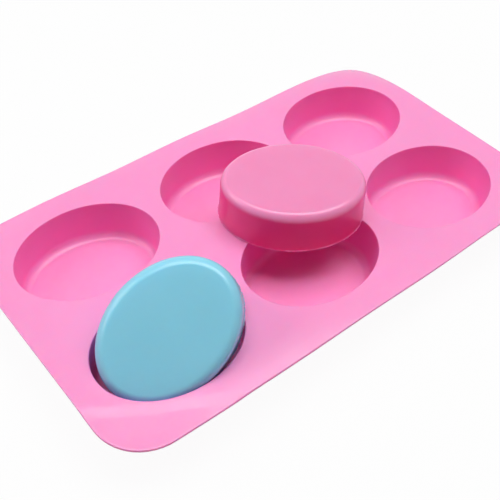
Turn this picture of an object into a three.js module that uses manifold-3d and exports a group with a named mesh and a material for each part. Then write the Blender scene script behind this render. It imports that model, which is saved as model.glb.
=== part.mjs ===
// A six-cavity soap mould of soft silicone, with two soap bars that were cast in it.
//
// The mould is one thin wall of rubber: a flat deck with rounded corners, from which six oval cups hang
// in two rows of three. It is laid out here as the deck and the six cups, each cup seated face to face
// on the deck's underside. One bar lies upside down on the deck, and the other leans in a cavity.
//
// Millimetres, +Z up, +X along the mould's long side, -Y its front. The origin is the middle of the
// mould's plan, at the height of the cups' flat bottoms, on which it stands.

import * as THREE from "three";
import { mergeVertices } from "three/addons/utils/BufferGeometryUtils.js";
import Module from "manifold-3d";

const wasm = await Module();
wasm.setup();

// Cavities: an oval mouth, walls that draw in towards the floor, and a rounded foot
const cavityLength = 79.8;
const cavityWidth = 62.2;
const cavityDepth = 24;
const draftDegrees = 3;
const footRound = 4;
const mouthRound = 0.7;

// Layout: two rows of three cavities, the rubber left between them, and the margins round them
const columnNames = ["left", "middle", "right"];
const rowNames = ["front", "back"];
const webBetweenColumns = 11.2;
const webBetweenRows = 11;
const endMargin = 14.7;
const sideMargin = 15.3;

// The rubber wall: the deck, the cups' sides and the cups' floors
const deckThickness = 1.6;
const deckCorner = 26;
const deckEdgeRound = 0.5;
const wallThickness = 1.8;
const floorThickness = 2;
const collarRound = 1.5;

// Soap bars: how far short of the brim they were poured, and how far the sides of the blue bar have
// shrunk from its cavity's, which lets it lean there
const pourBelowBrim = 0.4;
const blueShrink = 0.7;

// What rests on something keeps this gap to it
const restGap = 0.3;

// The pink bar lies flat on the deck, turned across it, with its middle at this place
const pinkPlaceX = 13.2;
const pinkPlaceY = -5;
const pinkTurnDegrees = -35;

// The blue bar leans in one cavity: its pour face's middle, as shares of the cavity's length and width
// away from the cavity's middle, the way its back leans, how steeply, and its turn about its own axis
const blueCavity = "front_left";
const blueLengthShare = 0.0649;
const blueWidthShare = 0.0748;
const blueLeanTowardsDegrees = -129.6;
const blueLeanDegrees = 37.5;
const blueTurnDegrees = 138.8;

// Facets of round forms, steps of the search for a resting height, and the overrun of every cut
const ovalSegments = 40;
const cornerSegments = 10;
const edgeSteps = 2;
const footSteps = 3;
const seatSteps = 16;
const overrun = 1;

// Sizes that follow from the ones above
const draft = THREE.MathUtils.degToRad(draftDegrees);
const spine = (cavityLength - cavityWidth) / 2;
const columnPitch = cavityLength + webBetweenColumns;
const rowPitch = cavityWidth + webBetweenRows;
const deckLength = cavityLength + (columnNames.length - 1) * columnPitch + 2 * endMargin;
const deckWidth = cavityWidth + (rowNames.length - 1) * rowPitch + 2 * sideMargin;
const deckTop = cavityDepth + floorThickness;

// The radius of a drafted wall at a height z, where z = 0 is the level of its mouth
function wallRadius(mouthRadius, z) {
  return mouthRadius + z * Math.tan(draft);
}

// Points of an arc in a profile, from one angle to another
function arcPoints(centreRadius, centreZ, round, fromAngle, toAngle, steps) {
  const points = [];
  for (let step = 0; step <= steps; step += 1) {
    const angle = fromAngle + ((toAngle - fromAngle) * step) / steps;
    const radius = centreRadius + round * Math.cos(angle);
    points.push(new THREE.Vector2(radius, centreZ + round * Math.sin(angle)));
  }
  return points;
}

// The line of a cup from the middle of its floor, round the foot and up the drafted wall to topZ
function cupLine(mouthRadius, depth, round, topZ) {
  const centreZ = round - depth;
  const centreRadius = wallRadius(mouthRadius, centreZ) - round / Math.cos(draft);
  return [
    new THREE.Vector2(0, -depth),
    ...arcPoints(centreRadius, centreZ, round, -Math.PI / 2, -draft, footSteps),
    new THREE.Vector2(wallRadius(mouthRadius, topZ), topZ),
  ];
}

// A profile turned about Z and pulled apart along X, which makes each round section an even oval
function ovalLathe(profile) {
  const geometry = new THREE.LatheGeometry(profile, ovalSegments);
  geometry.rotateX(Math.PI / 2);
  const place = geometry.getAttribute("position");
  for (let index = 0; index < place.count; index += 1) {
    const turn = (Math.floor(index / profile.length) / ovalSegments) * 2 * Math.PI;
    place.setX(index, place.getX(index) + spine * Math.sin(turn));
  }
  return geometry;
}

// A geometry as a solid that can be cut and compared, and a solid as a geometry again
function solidOf(geometry) {
  const bare = geometry.clone();
  bare.deleteAttribute("normal");
  bare.deleteAttribute("uv");
  const merged = mergeVertices(bare);
  const mesh = new wasm.Mesh({
    numProp: 3,
    vertProperties: merged.getAttribute("position").array,
    triVerts: new Uint32Array(merged.index.array),
  });
  return new wasm.Manifold(mesh);
}

function geometryOf(solid) {
  const mesh = solid.getMesh();
  const geometry = new THREE.BufferGeometry();
  geometry.setAttribute("position", new THREE.BufferAttribute(mesh.vertProperties, 3));
  geometry.setIndex(new THREE.BufferAttribute(mesh.triVerts, 1));
  geometry.computeVertexNormals();
  return geometry;
}

// The open space of one mouth through the deck, flared where the deck's top edge is rounded
function mouthCore() {
  const mouthRadius = cavityWidth / 2;
  const lowZ = -deckThickness - overrun;
  const flareRadius = wallRadius(mouthRadius, -mouthRound) + mouthRound / Math.cos(draft);
  const profile = [
    new THREE.Vector2(0, lowZ),
    new THREE.Vector2(wallRadius(mouthRadius, lowZ), lowZ),
    ...arcPoints(flareRadius, -mouthRound, mouthRound, Math.PI - draft, Math.PI / 2, edgeSteps),
    new THREE.Vector2(flareRadius, overrun),
    new THREE.Vector2(0, overrun),
  ];
  return ovalLathe(profile);
}

// The deck: a thin plate with rounded corners and soft edges, and one mouth for each cavity
function deckGeometry(cavityPlaces) {
  const cornerX = deckLength / 2 - deckCorner;
  const cornerY = deckWidth / 2 - deckCorner;
  const outline = new THREE.Shape();
  outline.absarc(cornerX, cornerY, deckCorner, 0, Math.PI / 2);
  outline.absarc(-cornerX, cornerY, deckCorner, Math.PI / 2, Math.PI);
  outline.absarc(-cornerX, -cornerY, deckCorner, Math.PI, 1.5 * Math.PI);
  outline.absarc(cornerX, -cornerY, deckCorner, 1.5 * Math.PI, 2 * Math.PI);
  const plate = new THREE.ExtrudeGeometry(outline, {
    depth: deckThickness - 2 * deckEdgeRound,
    bevelThickness: deckEdgeRound,
    bevelSize: deckEdgeRound,
    bevelOffset: -deckEdgeRound,
    bevelSegments: edgeSteps,
    curveSegments: cornerSegments,
  });
  plate.translate(0, 0, deckEdgeRound - deckThickness);
  let solid = solidOf(plate);
  for (const { x, y } of cavityPlaces) {
    solid = solid.subtract(solidOf(mouthCore().translate(x, y, 0)));
  }
  return geometryOf(solid);
}

// One cup: an even wall with a flat floor, and a rounded collar where it meets the deck's underside
function cupGeometry() {
  const innerRadius = cavityWidth / 2;
  const outerRadius = innerRadius + wallThickness / Math.cos(draft);
  const inside = cupLine(innerRadius, cavityDepth, footRound, -deckThickness);
  const collarZ = -deckThickness - collarRound;
  const outside = cupLine(outerRadius, deckTop, footRound + wallThickness, collarZ);
  const collarRadius = wallRadius(outerRadius, collarZ) + collarRound;
  const collar = arcPoints(collarRadius, collarZ, collarRound, Math.PI / 2, Math.PI, edgeSteps);
  outside.pop();
  return ovalLathe([...inside, ...collar, ...outside.reverse()].reverse());
}

// One soap bar: the casting of a cavity, its sides shrunk by some way, turned over onto its pour face.
// A margin makes it larger all round, which gives the space that it needs to keep a gap.
function soapGeometry(shrink, margin) {
  const mouthRadius = cavityWidth / 2 - shrink + margin;
  const pourDepth = cavityDepth - pourBelowBrim;
  const line = cupLine(mouthRadius, pourDepth + margin, footRound, margin);
  const bar = ovalLathe([...line, new THREE.Vector2(0, margin)]);
  bar.rotateX(Math.PI);
  return bar;
}

// Materials, in the colours of the photographed pieces
function siliconeMaterial() {
  return new THREE.MeshStandardMaterial({ color: 0xf59ac5, roughness: 0.5, metalness: 0 });
}

function pinkSoapMaterial() {
  return new THREE.MeshStandardMaterial({ color: 0xf094c0, roughness: 0.55, metalness: 0 });
}

function blueSoapMaterial() {
  return new THREE.MeshStandardMaterial({ color: 0x7fc0d5, roughness: 0.5, metalness: 0 });
}

// The places of the six cavities, front row first, each with its name
function layOutCavities() {
  const places = [];
  for (const [row, rowName] of rowNames.entries()) {
    for (const [column, columnName] of columnNames.entries()) {
      const x = (column - (columnNames.length - 1) / 2) * columnPitch;
      const y = (row - (rowNames.length - 1) / 2) * rowPitch;
      places.push({ name: `${rowName}_${columnName}`, x, y });
    }
  }
  return places;
}

// The mould: its deck and six cups, with the deck's top at z = 0 of the group
function buildMould(cavityPlaces) {
  const mould = new THREE.Group();
  const silicone = siliconeMaterial();
  const deck = new THREE.Mesh(deckGeometry(cavityPlaces), silicone);
  deck.name = "deck";
  mould.add(deck);
  for (const { name, x, y } of cavityPlaces) {
    const cup = new THREE.Mesh(cupGeometry(), silicone);
    cup.name = `cup_${name}`;
    cup.position.set(x, y, 0);
    mould.add(cup);
  }
  return mould;
}

// The pink bar, flat on the deck on its pour face
function buildPinkBar() {
  const bar = new THREE.Mesh(soapGeometry(0, 0), pinkSoapMaterial());
  bar.name = "soap_bar_pink";
  bar.position.set(pinkPlaceX, pinkPlaceY, restGap);
  bar.rotation.z = THREE.MathUtils.degToRad(pinkTurnDegrees);
  return bar;
}

// How high the middle of the blue bar's pour face lies: the bar comes down until the space that it
// needs, itself and the gap round it, would cut into the mould
function blueRestingHeight(mould, pose) {
  const needed = solidOf(soapGeometry(blueShrink, restGap).applyMatrix4(pose));
  let clearHeight = deckTop;
  let blockedHeight = -deckTop;
  for (let step = 0; step < seatSteps; step += 1) {
    const height = (clearHeight + blockedHeight) / 2;
    const isClear = needed.translate([0, 0, height]).intersect(mould).isEmpty();
    clearHeight = isClear ? height : clearHeight;
    blockedHeight = isClear ? blockedHeight : height;
  }
  return clearHeight;
}

// The blue bar, leaning in its cavity on the floor, the near wall and the far rim
function buildBlueBar(cavityPlaces, deck) {
  const cavity = cavityPlaces.find((place) => place.name === blueCavity);
  const lean = new THREE.Group();
  lean.rotation.set(
    0,
    THREE.MathUtils.degToRad(blueLeanDegrees),
    THREE.MathUtils.degToRad(blueLeanTowardsDegrees),
    "ZYX",
  );
  lean.position.x = cavity.x + blueLengthShare * cavityLength;
  lean.position.y = cavity.y + blueWidthShare * cavityWidth;
  const bar = new THREE.Mesh(soapGeometry(blueShrink, 0), blueSoapMaterial());
  bar.name = "soap_bar_blue";
  bar.rotation.z = THREE.MathUtils.degToRad(blueTurnDegrees);
  lean.add(bar);
  lean.updateMatrixWorld(true);
  const cup = solidOf(cupGeometry()).translate([cavity.x, cavity.y, 0]);
  lean.position.z = blueRestingHeight(cup.add(solidOf(deck.geometry)), bar.matrixWorld);
  return lean;
}

const cavityPlaces = layOutCavities();
const mould = buildMould(cavityPlaces);
mould.add(buildPinkBar());
mould.add(buildBlueBar(cavityPlaces, mould.getObjectByName("deck")));
mould.position.z = deckTop;

const soapMould = new THREE.Group();
soapMould.add(mould);

export default soapMould;
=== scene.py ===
"""A six-cavity silicone soap mould with two cast soap bars, dressed on its frame, in metres."""

import math

import bmesh
import bpy
from mathutils import Matrix, Vector, noise


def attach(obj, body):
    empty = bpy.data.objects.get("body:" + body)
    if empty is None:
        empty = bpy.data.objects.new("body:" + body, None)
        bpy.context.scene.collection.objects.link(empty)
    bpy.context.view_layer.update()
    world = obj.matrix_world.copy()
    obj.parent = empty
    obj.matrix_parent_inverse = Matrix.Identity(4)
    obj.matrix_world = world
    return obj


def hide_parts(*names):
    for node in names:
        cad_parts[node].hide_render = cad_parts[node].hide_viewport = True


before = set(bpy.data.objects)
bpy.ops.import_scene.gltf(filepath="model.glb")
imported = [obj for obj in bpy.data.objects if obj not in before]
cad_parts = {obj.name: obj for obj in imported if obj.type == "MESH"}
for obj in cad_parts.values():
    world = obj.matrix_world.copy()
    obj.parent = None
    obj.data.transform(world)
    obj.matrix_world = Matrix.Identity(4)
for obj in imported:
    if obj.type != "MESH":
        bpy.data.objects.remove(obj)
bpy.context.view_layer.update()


# The mould is one moulding of silicone rubber: a thin flat deck, and six oval cups hanging from it
# in two rows of three. It is pressed between two steel halves, so every wall is drafted, and the skin
# runs on without a seam from the deck over each mouth, down the wall and across the floor.
cavity_length = 0.0798
cavity_width = 0.0622
cavity_depth = 0.024
wall_draft = math.radians(3)
foot_reach = 0.0045
foot_rise = 0.005
mouth_round = 0.0005
column_pitch = 0.091
row_pitch = 0.0732
deck_length = 0.2912
deck_width = 0.166
deck_half = (deck_length / 2, deck_width / 2)
deck_thickness = 0.0016
deck_corner = 0.026
deck_edge_round = 0.0005
wall_thickness = 0.0018
floor_thickness = 0.002
collar_round = 0.0015
deck_top = cavity_depth + floor_thickness
oval_spine = (cavity_length - cavity_width) / 2
mouth_radius = cavity_width / 2
cavity_rays = 128
weld_distance = 2e-6


def wall_radius(top_radius, z, draft):
    """The half width of a drafted wall at a height z, which is 0 at the wall's wide end."""
    return top_radius + z * math.tan(draft)


def round_off(centre_radius, centre_z, radius, start, end, steps):
    """The points of a rounded edge or foot in a profile, from one angle to another."""
    angles = [start + (end - start) * step / steps for step in range(steps + 1)]
    return [(centre_radius + radius * math.cos(a), centre_z + radius * math.sin(a)) for a in angles]


def cup_foot(top_radius, depth, reach, rise, draft, steps):
    """The round foot between a drafted wall and the floor, from the floor outwards, reaching so far
    across the floor and rising so far up the wall. Its points lie closer near the floor."""
    crowding = 1.6
    corner = wall_radius(top_radius, -depth, draft)
    line = []
    for step in range(steps + 1):
        turn = math.pi / 2 * (step / steps) ** crowding
        up = rise * (1 - math.cos(turn))
        line.append((corner - reach * (1 - math.sin(turn)) + up * math.tan(draft), up - depth))
    return line


def along(start, end, steps):
    """Even steps between two points of a profile, without its ends."""
    across, rise = end[0] - start[0], end[1] - start[1]
    shares = [step / steps for step in range(1, steps)]
    return [(start[0] + across * share, start[1] + rise * share) for share in shares]


def cavity_line():
    """The inside of a cavity, from the middle of its floor up to the flat of the deck."""
    foot = cup_foot(mouth_radius, cavity_depth, foot_reach, foot_rise, wall_draft, steps=14)
    lip_side = wall_radius(mouth_radius, -mouth_round, wall_draft)
    lip_radius = lip_side + mouth_round / math.cos(wall_draft)
    lip_start, lip_end = math.pi - wall_draft, math.pi / 2
    lip = round_off(lip_radius, -mouth_round, mouth_round, lip_start, lip_end, steps=6)
    middle = (0, -cavity_depth)
    floor = along(middle, foot[0], steps=8)
    wall = along(foot[-1], lip[0], steps=7)
    return [middle, *floor, *foot, *wall, *lip]


def cup_line():
    """The outside of a cup, from the deck's underside down to the middle of the cup's bottom."""
    outer_radius = mouth_radius + wall_thickness / math.cos(wall_draft)
    collar_z = -deck_thickness - collar_round
    collar_radius = wall_radius(outer_radius, collar_z, wall_draft) + collar_round
    collar = round_off(collar_radius, collar_z, collar_round, math.pi / 2, math.pi, steps=5)
    reach, rise = foot_reach + wall_thickness, foot_rise + wall_thickness
    foot = cup_foot(outer_radius, deck_top, reach, rise, wall_draft, steps=10)[::-1]
    middle = (0, -deck_top)
    wall = along(collar[-1], foot[0], steps=6)
    bottom = along(foot[-1], middle, steps=4)
    return [*collar, *wall, *foot, *bottom, middle]


def edge_line():
    """The deck's rounded outer edge, from the rim of its top face to that of its underside."""
    edge = deck_edge_round
    return [
        *round_off(0, -edge, edge, math.pi / 2, 0, steps=4),
        *round_off(0, edge - deck_thickness, edge, 0, -math.pi / 2, steps=4),
    ]


def on_deck_edge(place, axis):
    """Whether a place along one axis is that of the deck's own outer edge."""
    same_place = 1e-9
    return abs(abs(place) - deck_half[axis]) < same_place


def cell_border(centre, direction, low, high):
    """Where a ray from a cavity's centre meets the edge of its share of the deck, and which way the
    deck's own edge faces there, or None where the neighbour's share goes on."""
    reach = []
    for axis in (0, 1):
        if direction[axis]:
            side = high[axis] if direction[axis] > 0 else low[axis]
            reach.append(((side - centre[axis]) / direction[axis], axis, side))
    distance, axis, side = min(reach)
    point = Vector((centre[0] + direction[0] * distance, centre[1] + direction[1] * distance))
    if not on_deck_edge(side, axis):
        return point, None
    hub = Vector([math.copysign(deck_half[k] - deck_corner, point[k]) for k in (0, 1)])
    if min(abs(point[k]) - abs(hub[k]) for k in (0, 1)) > 0:
        ray, start = Vector(direction), Vector(centre) - hub
        a, b, c = ray.dot(ray), 2 * ray.dot(start), start.dot(start) - deck_corner**2
        point = Vector(centre) + ray * ((math.sqrt(b * b - 4 * a * c) - b) / (2 * a))
        return point, (point - hub).normalized()
    facing = [0, 0]
    facing[axis] = math.copysign(1, side)
    return point, Vector(facing)


def cell_rays(centre, low, high):
    """The rays of one cavity: the turn of each round the oval, its end on the cell's border and the
    way the deck's edge faces there. The ray nearest to each square corner ends in that corner."""
    rays = []
    for index in range(cavity_rays):
        turn = 2 * math.pi * index / cavity_rays
        direction = (
            (mouth_radius + oval_spine) * math.cos(turn),
            mouth_radius * math.sin(turn),
        )
        rays.append([turn, *cell_border(centre, direction, low, high)])
    for corner in ((x, y) for x in (low[0], high[0]) for y in (low[1], high[1])):
        on_edge = [on_deck_edge(corner[axis], axis) for axis in (0, 1)]
        if all(on_edge):
            continue
        nearest = min(rays, key=lambda ray: (ray[1] - Vector(corner)).length)
        nearest[1] = Vector(corner)
        if any(on_edge):
            nearest[2] = Vector([math.copysign(on_edge[axis], corner[axis]) for axis in (0, 1)])
    return rays


def on_oval(centre, turn, radius, z):
    """A point of the oval line of one half width round a cavity's centre."""
    return Vector((
        centre[0] + (radius + oval_spine) * math.cos(turn),
        centre[1] + radius * math.sin(turn),
        z,
    ))


def deck_run(mouth, border):
    """The deck from a mouth to the cell's border: short steps beside the mouth and even ones after
    them. Each run has as many points, and those of a short run fall together on the border."""
    short_steps = (0.0004, 0.001, 0.0022, 0.0042)
    even_steps = 16
    longest_short_share = 0.45
    length = (border - mouth).length
    shares = [step / length for step in short_steps if step < longest_short_share * length]
    if shares:
        rest = 1 - shares[-1]
        shares += [1 - rest * k / even_steps for k in range(even_steps - 1, -1, -1)]
    shares += [1] * (len(short_steps) + even_steps - len(shares))
    return [mouth.lerp(border, share) for share in shares]


def cell_chain(centre, turn, end, facing, inside, outside, edge):
    """The skin along one ray of a cavity, in three lines: up the inside and out over the deck, round
    the deck's own edge where the ray ends there, and back below the deck and down the outside."""
    rim_end = end - facing * deck_edge_round if facing else end
    top = [on_oval(centre, turn, *point) for point in inside]
    under = [on_oval(centre, turn, *point) for point in outside]
    top = top + deck_run(top[-1], Vector((*rim_end, 0)))
    under = deck_run(under[0], Vector((*rim_end, -deck_thickness)))[::-1] + under
    band = [Vector((*(rim_end + facing * r), z)) for r, z in edge] if facing else []
    return top, band, under


def stitch(skin, line, next_line):
    """The faces between two neighbouring lines of points."""
    for k in range(len(line) - 1):
        skin.faces.new((line[k], line[k + 1], next_line[k + 1], next_line[k]))


def hang(start, full, value):
    """Bends down more and more, from 0 at start to 1 at full."""
    return min(1.0, max(0.0, (value - start) / (full - start))) ** 2


def sag_along(sags, pitch, place):
    """The sag at a place along an edge of the deck, on a smooth line through sags a pitch apart."""
    at = place / pitch + (len(sags) - 1) / 2
    low = min(max(int(at), 0), len(sags) - 2)
    share = at - low
    last = len(sags) - 1
    before, one, two, after = (sags[min(max(k, 0), last)] for k in range(low - 1, low + 3))
    rest = 1 - share
    bend = (two - before) / 2 * share * rest**2 - (after - one) / 2 * share**2 * rest
    return one + (two - one) * share * share * (3 - 2 * share) + bend


def fold_fall(x, y):
    """How far the front left corner lies below the soft fold that packing left across it."""
    fold = ((-0.150, -0.0435), (-0.121, -0.0625), (-0.090, -0.0785))
    drop = 0.0007
    width = 0.0065
    beyond = max(
        ((x - x0) * (y1 - y0) - (y - y0) * (x1 - x0)) / math.hypot(x1 - x0, y1 - y0)
        for (x0, y0), (x1, y1) in zip(fold, fold[1:])
    )
    share = min(1.0, max(0.0, beyond / width + 0.5))
    return drop * share * share * (3 - 2 * share)


def web_dish(x, y):
    """How far the deck dips in the middle of the web between four cups."""
    depth = 0.00025
    half_length = 0.011
    half_width = 0.009
    along_x = (abs(x) - column_pitch / 2) / half_length
    return depth * math.exp(-(along_x**2) - (y / half_width) ** 2)


def deck_droop(x, y):
    """How far the thin flange hangs below its moulded plane where no cup holds it up. It was rolled
    up in its packing, so it sags along the back, most at the back right corner, and curls up a little
    at its left end and at the right of its front."""
    back_sags = (0.0031, 0.0015, 0.0023, 0.0017, 0.0031, 0.0024, 0.0035)
    front_sags = (-0.0008, 0.0010, 0.0017, 0.0007, 0.0008, -0.0013, -0.0020)
    right_sags = (-0.0019, -0.0016, -0.0006, 0.0003, 0.0026)
    left_sags = (-0.0006, -0.0010, -0.0008, -0.0009, -0.0009)
    back_right_sag = 0.0026
    held_width, held_length = 0.066, 0.130
    corner_start, corner_end = 0.178, 0.212
    side = sag_along(back_sags if y > 0 else front_sags, column_pitch / 2, x)
    end = sag_along(right_sags if x > 0 else left_sags, row_pitch / 2, y)
    corner = back_right_sag if x > 0 and y > 0 else 0.0
    return (
        side * hang(held_width, deck_width / 2, abs(y))
        + end * hang(held_length, deck_length / 2, abs(x))
        + corner * hang(corner_start, corner_end, abs(x) + abs(y))
        + web_dish(x, y)
        + fold_fall(x, y)
    )


def mark_shading_steepness(skin):
    """Stores how steeply each point of a skin stands, 0 where it lies flat and 1 on an upright wall,
    as the mask for the painted shading on gentle folds and the painted shade on steep walls."""
    skin.normal_update()
    shading_steepness = skin.verts.layers.float.new("shading_steepness")
    for vert in skin.verts:
        vert[shading_steepness] = 1 - abs(vert.normal.z)


def keep_edge_pale(skin):
    """Marks the deck's outer edge as nearly flat, so that it takes little of the walls' painted shade
    and keeps nearly the flats' tone, because light passes through so thin an edge.
    """
    edge_band = 0.0006
    edge_share = 0.2
    shading_steepness = skin.verts.layers.float["shading_steepness"]
    for vert in skin.verts:
        past = [abs(vert.co[axis]) - deck_half[axis] for axis in (0, 1)]
        turned = Vector([max(0.0, side + deck_corner) for side in past]).length - deck_corner
        if max(*past, turned) > -edge_band:
            vert[shading_steepness] *= edge_share


def mould_skin():
    """The whole moulding as one closed skin, cell by cell, welded along the cells' borders and then
    sagged. The cups' walls follow the deck's sag less and less, down to where they stand firm."""
    sliver = 1e-7
    firm_depth = 0.010
    giving_depth = 0.007
    skin = bmesh.new()
    inside, outside, edge = cavity_line(), cup_line(), edge_line()
    for row in (-0.5, 0.5):
        for column in (-1, 0, 1):
            centre = (column * column_pitch, row * row_pitch)
            low = [
                -deck_length / 2 if column < 0 else (column - 0.5) * column_pitch,
                -deck_width / 2 if row < 0 else 0,
            ]
            high = [
                deck_length / 2 if column > 0 else (column + 0.5) * column_pitch,
                deck_width / 2 if row > 0 else 0,
            ]
            chains = []
            for ray in cell_rays(centre, low, high):
                lines = cell_chain(centre, *ray, inside, outside, edge)
                chains.append([[skin.verts.new(place) for place in line] for line in lines])
            for one, next_one in zip(chains, chains[1:] + chains[:1]):
                for line, next_line in zip(one, next_one):
                    if line and next_line:
                        stitch(skin, line, next_line)
    bmesh.ops.remove_doubles(skin, verts=skin.verts, dist=weld_distance)
    bmesh.ops.dissolve_degenerate(skin, edges=skin.edges, dist=sliver)
    for vert in skin.verts:
        x, y, z = vert.co
        give = min(1.0, max(0.0, (z + firm_depth) / giving_depth))
        vert.co.z = z + deck_top - deck_droop(x, y) * give
    bmesh.ops.recalc_face_normals(skin, faces=skin.faces)
    mark_shading_steepness(skin)
    keep_edge_pale(skin)
    return skin


def moulded_colour(material, cloud_scale, flat_colours, fold_shading_colour, wall_shade_colour):
    """The colour of a moulded skin: a little cloudy on the flats, between two near tones, a painted
    tone for the light on the gentle folds, where light comes through from both sides, and a deep
    painted shade on the steep walls."""
    cloud_range = (0.35, 0.65)
    fold_range = (0.01, 0.12)
    wall_range = (0.35, 0.97)
    nodes, links = material.node_tree.nodes, material.node_tree.links
    place = nodes.new("ShaderNodeTexCoord")
    cloud = nodes.new("ShaderNodeTexNoise")
    cloud.inputs["Scale"].default_value = cloud_scale
    cloud.inputs["Detail"].default_value = 4
    links.new(place.outputs["Object"], cloud.inputs["Vector"])
    tone = nodes.new("ShaderNodeValToRGB")
    for stop, position, colour in zip(tone.color_ramp.elements, cloud_range, flat_colours):
        stop.position, stop.color = position, (*colour, 1)
    links.new(cloud.outputs["Fac"], tone.inputs["Fac"])
    shading_steepness = nodes.new("ShaderNodeAttribute")
    shading_steepness.attribute_name = "shading_steepness"
    colour = tone.outputs["Color"]
    for (start, full), new_colour in ((fold_range, fold_shading_colour), (wall_range, wall_shade_colour)):
        turn = nodes.new("ShaderNodeMapRange")
        turn.interpolation_type = "SMOOTHSTEP"
        turn.inputs["From Min"].default_value = start
        turn.inputs["From Max"].default_value = full
        links.new(shading_steepness.outputs["Fac"], turn.inputs["Value"])
        change = nodes.new("ShaderNodeMix")
        change.data_type = "RGBA"
        change.inputs["B"].default_value = (*new_colour, 1)
        links.new(turn.outputs["Result"], change.inputs["Factor"])
        links.new(colour, change.inputs["A"])
        colour = change.outputs["Result"]
    links.new(colour, nodes["Principled BSDF"].inputs["Base Color"])


def satin_finish(material, bloom_scale, least_rough, most_rough, grain_scale, grain_depth):
    """Roughness that drifts between two levels, and a fine grain over it."""
    bloom_range = (0.3, 0.7)
    nodes, links = material.node_tree.nodes, material.node_tree.links
    shader = nodes["Principled BSDF"]
    place = nodes.new("ShaderNodeTexCoord")
    bloom = nodes.new("ShaderNodeTexNoise")
    bloom.inputs["Scale"].default_value = bloom_scale
    bloom.inputs["Detail"].default_value = 5
    links.new(place.outputs["Object"], bloom.inputs["Vector"])
    satin = nodes.new("ShaderNodeMapRange")
    satin.inputs["From Min"].default_value = bloom_range[0]
    satin.inputs["From Max"].default_value = bloom_range[1]
    satin.inputs["To Min"].default_value = least_rough
    satin.inputs["To Max"].default_value = most_rough
    links.new(bloom.outputs["Fac"], satin.inputs["Value"])
    links.new(satin.outputs["Result"], shader.inputs["Roughness"])
    grain = nodes.new("ShaderNodeTexNoise")
    grain.inputs["Scale"].default_value = grain_scale
    grain.inputs["Detail"].default_value = 2
    links.new(place.outputs["Object"], grain.inputs["Vector"])
    bump = nodes.new("ShaderNodeBump")
    bump.inputs["Strength"].default_value = 1.0
    bump.inputs["Distance"].default_value = grain_depth
    links.new(grain.outputs["Fac"], bump.inputs["Height"])
    links.new(bump.outputs["Normal"], shader.inputs["Normal"])


def soft_material(name, finish):
    """A new material with one shader, whose fixed finish is set socket by socket."""
    material = bpy.data.materials.new(name)
    material.use_nodes = True
    shader = material.node_tree.nodes["Principled BSDF"]
    for socket, value in finish.items():
        shader.inputs[socket].default_value = value
    return material


def silicone():
    """Satin pink silicone: soft and a little clear, with a faint powdery bloom."""
    material = soft_material("pink_silicone", {
        "IOR": 1.45,
        "Specular IOR Level": 0.65,
        "Coat Weight": 0.26,
        "Coat Roughness": 0.17,
        "Subsurface Weight": 0.5,
        "Subsurface Radius": (1.0, 0.15, 0.3),
        "Subsurface Scale": 0.0025,
    })
    moulded_colour(
        material,
        cloud_scale=22,
        flat_colours=((0.965, 0.29, 0.59), (0.975, 0.302, 0.61)),
        # Painted shading on the gentle feet and mouths, a little deeper than the flats.
        fold_shading_colour=(0.95, 0.27, 0.59),
        # Painted shade: the steep walls of the cavities are deeper than the flats.
        wall_shade_colour=(0.98, 0.197, 0.555),
    )
    satin_finish(
        material,
        bloom_scale=60,
        least_rough=0.34,
        most_rough=0.44,
        grain_scale=1500,
        grain_depth=0.000004,
    )
    return material


def make_piece(name, skin, material):
    """Turns a finished skin into a smooth piece of the scene, in its material."""
    mesh = bpy.data.meshes.new(name)
    skin.to_mesh(mesh)
    skin.free()
    mesh.shade_smooth()
    mesh.materials.append(material)
    piece = bpy.data.objects.new(name, mesh)
    bpy.context.scene.collection.objects.link(piece)
    return piece


mould = make_piece("mould_skin", mould_skin(), silicone())
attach(mould, "mould")
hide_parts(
    "deck",
    "cup_front_left", "cup_front_middle", "cup_front_right",
    "cup_back_left", "cup_back_middle", "cup_back_right",
)


# The pink bar is melt-and-pour soap, cast in one of the cavities and turned out upside down onto
# the deck. Its top and its soft upper edge are the cavity's floor and foot, and where the soap crept
# over the mouth a thin ragged rim of it is left round the foot of the bar.
bar_height = 0.0244
bar_draft = math.radians(1.8)
bar_crown = 0.0008
crown_power = 6
bar_rays = 480


def bar_line(radius, edge):
    """The outline of a bar from the middle of its pour face, round its ragged rim and up its side,
    to the middle of its top: half width, height and share of the rag at each point."""
    top = (0, bar_height)
    foot = cup_foot(radius, bar_height, *edge, bar_draft, steps=24)
    shoulder = [(r, -z, 0) for r, z in foot[::-1]]
    crown = [(r, bar_height, 0) for r, _ in along((foot[0][0], bar_height), top, steps=10)]
    base = [(share * radius, 0, 0) for share in (0, 0.25, 0.5, 0.75)]
    rim = [
        (radius - 0.0008, 0, 0),
        (radius - 0.0002, 0, 0.3),
        (radius, 0.00005, 1),
        (radius, 0.0002, 1),
        (wall_radius(radius, -0.0005, bar_draft), 0.0005, 0.1),
    ]
    heights = (0.0008, 0.0012, 0.002, 0.004, 0.007, 0.010, 0.013, 0.016)
    wall = [(wall_radius(radius, -z, bar_draft), z, 0) for z in heights]
    return [*base, *rim, *wall, *shoulder, *crown, (*top, 0)]


def rim_rag(turn, rag, shrink, rubbed_turn):
    """How far the rim stands out at one turn round the bar: a slow swell with fine teeth on it. Bars
    that have shrunk unlike each other have unlike teeth."""
    ring_radius, ring_lift = 9, 5
    swell_scale, teeth_scale = 0.7, 4
    swell_share, teeth_share = 0.4, 0.7
    usual, least = 0.55, 0.1
    rubbed_reach = 0.5
    ring = (math.cos(turn) * ring_radius, math.sin(turn) * ring_radius, ring_lift * shrink)
    swell = swell_share * noise.noise(Vector(ring) * swell_scale)
    teeth = teeth_share * noise.noise(Vector(ring) * teeth_scale)
    stands_out = rag * min(1.0, max(least, usual + swell + teeth))
    if rubbed_turn is not None:
        stands_out *= 1 - math.exp(-((1 - math.cos(turn - rubbed_turn)) / rubbed_reach) ** 2)
    return stands_out


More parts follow.
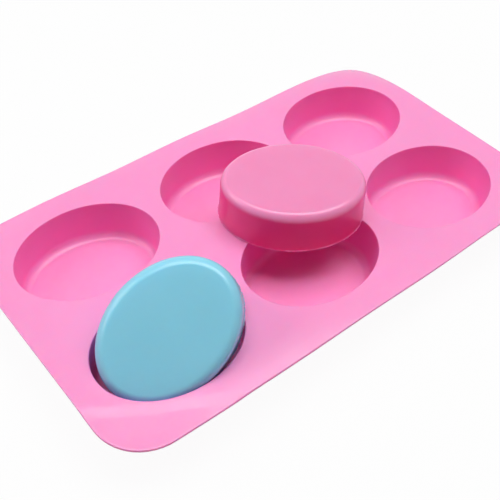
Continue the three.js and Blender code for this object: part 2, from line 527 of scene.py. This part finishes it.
def cast_bar(shrink, edge, rag, rubbed_turn, slump):
    """A bar cast in a cavity, standing on its pour face. Its walls stand steeper than the empty
    cavity's, because the weight of the soap pushes the cup out near its floor. Its sides have shrunk
    by some way, edge is how far its soft upper edge reaches across its top and down its side, rag is
    the most that its rim stands out, rubbed_turn is where that rim has been rubbed off, if anywhere,
    and slump is how far its base has crept aside."""
    rim_height = 0.0004
    rim_shading_steepness = 0.85
    bar = bmesh.new()
    radius = mouth_radius - shrink
    outline = bar_line(radius, edge)
    chains = []
    for index in range(bar_rays):
        turn = 2 * math.pi * index / bar_rays
        stands_out = rim_rag(turn, rag, shrink, rubbed_turn)
        chain = []
        for r, z, share in outline:
            z *= 1 - bar_crown / bar_height * (r / radius) ** crown_power
            r += stands_out * share
            x, y = (r + oval_spine) * math.cos(turn), r * math.sin(turn)
            crept = 1 - z / bar_height
            chain.append(bar.verts.new((x + slump[0] * crept, y + slump[1] * crept, z)))
        chains.append(chain)
    for line, next_line in zip(chains, chains[1:] + chains[:1]):
        stitch(bar, line, next_line)
    bmesh.ops.remove_doubles(bar, verts=bar.verts, dist=weld_distance)
    bmesh.ops.recalc_face_normals(bar, faces=bar.faces)
    mark_shading_steepness(bar)
    # The ragged rim at the foot takes most of the walls' painted shade.
    shading_steepness = bar.verts.layers.float["shading_steepness"]
    for vert in bar.verts:
        if 0 < vert.co.z < rim_height:
            vert[shading_steepness] = rim_shading_steepness
    return bar


def soap(name, flat_colours, fold_shading_colour, wall_shade_colour, clearness, depths):
    """Melt-and-pour soap: waxy and slightly clear, with faint clouds in it and a smooth, sweaty skin.
    clearness is how far light travels in it, and depths the share of that for red, green and blue."""
    material = soft_material(name, {
        "IOR": 1.46,
        "Specular IOR Level": 0.5,
        "Coat Weight": 0.4,
        "Coat Roughness": 0.12,
        "Subsurface Weight": 0.8,
        "Subsurface Radius": depths,
        "Subsurface Scale": clearness,
    })
    # The wall colour paints the shade on the sides, and the fold colour the light on the soft edges.
    moulded_colour(material, 35, flat_colours, fold_shading_colour, wall_shade_colour)
    satin_finish(
        material,
        bloom_scale=80,
        least_rough=0.29,
        most_rough=0.36,
        grain_scale=900,
        grain_depth=0.000004,
    )
    return material


pink_soap = soap(
    "pink_soap",
    flat_colours=((0.85, 0.25, 0.495), (0.87, 0.265, 0.515)),
    # Painted highlight: the soft upper edge is paler than the top.
    fold_shading_colour=(0.97, 0.28, 0.55),
    # Painted shade: the sides are far deeper than the top.
    wall_shade_colour=(0.97, 0.06, 0.28),
    clearness=0.005,
    depths=(1.0, 0.5, 0.6),
)
pink_casting = cast_bar(
    shrink=0.0,
    edge=(0.004, 0.0048),
    rag=0.0006,
    rubbed_turn=None,
    slump=(0, 0),
)
pink_place = (
    Matrix.Translation((0.0132, -0.005, 0.0263))
    @ Matrix.Rotation(math.radians(-35), 4, "Z")
)
pink_bar = make_piece("pink_soap_bar", pink_casting, pink_soap)
pink_bar.data.transform(pink_place)
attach(pink_bar, "pink_bar")
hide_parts("soap_bar_pink")


# The blue bar is the same casting in blue, with its edge handled a little rounder. It has been
# lifted out and laid back askew, so that it leans in the front left cavity with one end down in the
# cup and the other up over the rim.
blue_soap = soap(
    "blue_soap",
    flat_colours=((0.255, 0.68, 0.84), (0.27, 0.695, 0.86)),
    fold_shading_colour=(0.27, 0.68, 0.85),
    # Painted shade: the sides are darker and less red than the top.
    wall_shade_colour=(0.15, 0.60, 0.79),
    clearness=0.006,
    depths=(0.5, 0.9, 1.0),
)
blue_casting = cast_bar(
    shrink=0.0007,
    edge=(0.0050, 0.0052),
    rag=0.0006,
    rubbed_turn=math.radians(75),
    slump=(-0.0001, -0.0007),
)
blue_place = (
    Matrix.Translation((-0.085821, -0.031947, 0.024224))
    @ Matrix.Rotation(math.radians(-129.6), 4, "Z")
    @ Matrix.Rotation(math.radians(37.5), 4, "Y")
    @ Matrix.Rotation(math.radians(138.8), 4, "Z")
)
blue_bar = make_piece("blue_soap_bar", blue_casting, blue_soap)
blue_bar.data.transform(blue_place)
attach(blue_bar, "blue_bar")
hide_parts("soap_bar_blue")


# The worktop is a plain white board. To the camera it is lifted most of the way to the white of the
# backdrop, so that a soft trace of the mould's shadow stays, and all the way further out, so that it
# runs into the backdrop without a line.
board_half = 4
board_colour = (0.82, 0.82, 0.82, 1)
near_reach, far_reach = 0.25, 0.9
near_lift, far_lift = 0.95, 1.0


def seen_share(tree, kinds):
    """1 for the kinds of ray that see plain white, and 0 for the light that falls on the object."""
    path = tree.nodes.new("ShaderNodeLightPath")
    share = path.outputs[kinds[0]]
    for kind in kinds[1:]:
        either = tree.nodes.new("ShaderNodeMath")
        either.operation = "MAXIMUM"
        tree.links.new(share, either.inputs[0])
        tree.links.new(path.outputs[kind], either.inputs[1])
        share = either.outputs[0]
    return share


board = bpy.data.materials.new("white_board")
board.use_nodes = True
board_nodes, board_links = board.node_tree.nodes, board.node_tree.links
board_nodes.clear()
board_output = board_nodes.new("ShaderNodeOutputMaterial")
board_blend = board_nodes.new("ShaderNodeMixShader")
board_paint = board_nodes.new("ShaderNodeBsdfDiffuse")
board_paint.inputs["Color"].default_value = board_colour
board_white = board_nodes.new("ShaderNodeEmission")
board_white.inputs["Strength"].default_value = 1.0
board_seen = seen_share(board.node_tree, ("Is Camera Ray", "Is Glossy Ray"))
board_place = board_nodes.new("ShaderNodeTexCoord")
board_reach = board_nodes.new("ShaderNodeVectorMath")
board_reach.operation = "LENGTH"
board_lift = board_nodes.new("ShaderNodeMapRange")
board_lift.inputs["From Min"].default_value = near_reach
board_lift.inputs["From Max"].default_value = far_reach
board_lift.inputs["To Min"].default_value = near_lift
board_lift.inputs["To Max"].default_value = far_lift
board_share = board_nodes.new("ShaderNodeMath")
board_share.operation = "MULTIPLY"
board_links.new(board_place.outputs["Object"], board_reach.inputs[0])
board_links.new(board_reach.outputs["Value"], board_lift.inputs["Value"])
board_links.new(board_seen, board_share.inputs[0])
board_links.new(board_lift.outputs["Result"], board_share.inputs[1])
board_links.new(board_share.outputs[0], board_blend.inputs[0])
board_links.new(board_paint.outputs[0], board_blend.inputs[1])
board_links.new(board_white.outputs[0], board_blend.inputs[2])
board_links.new(board_blend.outputs[0], board_output.inputs["Surface"])
worktop_mesh = bpy.data.meshes.new("worktop")
worktop_corners = [(-1, -1), (1, -1), (1, 1), (-1, 1)]
worktop_mesh.from_pydata(
    [(x * board_half, y * board_half, 0) for x, y in worktop_corners], [], [(0, 1, 2, 3)]
)
worktop_mesh.materials.append(board)
worktop = bpy.data.objects.new("worktop", worktop_mesh)
bpy.context.scene.collection.objects.link(worktop)


# The studio is a white room, kept dim beside the lamps. The camera and the reflections see it as
# plain white.
room_level = 0.02
room = bpy.data.worlds.new("white_room")
bpy.context.scene.world = room
room.use_nodes = True
room_nodes, room_links = room.node_tree.nodes, room.node_tree.links
room_nodes.clear()
room_output = room_nodes.new("ShaderNodeOutputWorld")
room_blend = room_nodes.new("ShaderNodeMixShader")
room_light = room_nodes.new("ShaderNodeBackground")
room_light.inputs["Color"].default_value = (1, 1, 1, 1)
room_light.inputs["Strength"].default_value = room_level
room_white = room_nodes.new("ShaderNodeBackground")
room_white.inputs["Color"].default_value = (1, 1, 1, 1)
room_white.inputs["Strength"].default_value = 1.0
room_seen = seen_share(room.node_tree, ("Is Camera Ray", "Is Transmission Ray", "Is Glossy Ray"))
room_links.new(room_seen, room_blend.inputs[0])
room_links.new(room_light.outputs[0], room_blend.inputs[1])
room_links.new(room_white.outputs[0], room_blend.inputs[2])
room_links.new(room_blend.outputs[0], room_output.inputs["Surface"])


# The camera looks down across the mould from its front left, with the horizon a little tipped, and
# stands so near that the ends of the deck run out of the picture.
camera_azimuth = -0.7146
camera_elevation = 0.8240
camera_roll = 0.0522
camera_distance = 0.4420
camera_aim = Vector((-0.02355, -0.01475, 0.026))
back = Vector((
    math.sin(camera_azimuth) * math.cos(camera_elevation),
    -math.cos(camera_azimuth) * math.cos(camera_elevation),
    math.sin(camera_elevation),
))
level = Vector((math.cos(camera_azimuth), math.sin(camera_azimuth), 0))
rise = back.cross(level)
right = level * math.cos(camera_roll) + rise * math.sin(camera_roll)
up = rise * math.cos(camera_roll) - level * math.sin(camera_roll)
camera_data = bpy.data.cameras.new("camera")
camera_data.lens = 60.33
camera_data.sensor_width = 36
camera_data.clip_start = 0.01
camera_data.clip_end = 30
camera = bpy.data.objects.new("camera", camera_data)
camera.matrix_world = Matrix.Translation(back * camera_distance + camera_aim) @ (
    Matrix((right, up, back)).transposed().to_4x4()
)
bpy.context.scene.collection.objects.link(camera)
bpy.context.scene.camera = camera


# Three softboxes hang in a row across the picture: a wide key straight over the mould, and a
# smaller one low on each side. They fill the deck and the floors and reach both ends of each cavity,
# and leave the steep walls that face the camera in shade.
lamp_distance = 1.1
towards_back = Vector((-math.sin(camera_azimuth), math.cos(camera_azimuth), 0))


def softbox(name, watts, width, height, back_degrees, left_degrees):
    """A softbox tilted away from straight overhead towards the picture's back and left, with its
    width across the picture."""
    lamp = bpy.data.lights.new(name, "AREA")
    lamp.shape = "RECTANGLE"
    lamp.size, lamp.size_y, lamp.energy = width, height, watts
    lift = Vector((0, 0, 1)) + towards_back * math.tan(math.radians(back_degrees))
    facing = (lift - level * math.tan(math.radians(left_degrees))).normalized()
    upright = facing.cross(level).normalized()
    across = upright.cross(facing)
    holder = bpy.data.objects.new(name, lamp)
    holder.matrix_world = Matrix.Translation(facing * lamp_distance) @ (
        Matrix((across, upright, facing)).transposed().to_4x4()
    )
    bpy.context.scene.collection.objects.link(holder)


softbox("key_softbox", watts=12.0, width=1.3, height=0.6, back_degrees=6, left_degrees=-6)
softbox("left_softbox", watts=3.5, width=0.6, height=0.6, back_degrees=0, left_degrees=52)
softbox("right_softbox", watts=0.5, width=0.6, height=0.6, back_degrees=0, left_degrees=-52)
bpy.context.scene.view_settings.view_transform = "Standard"
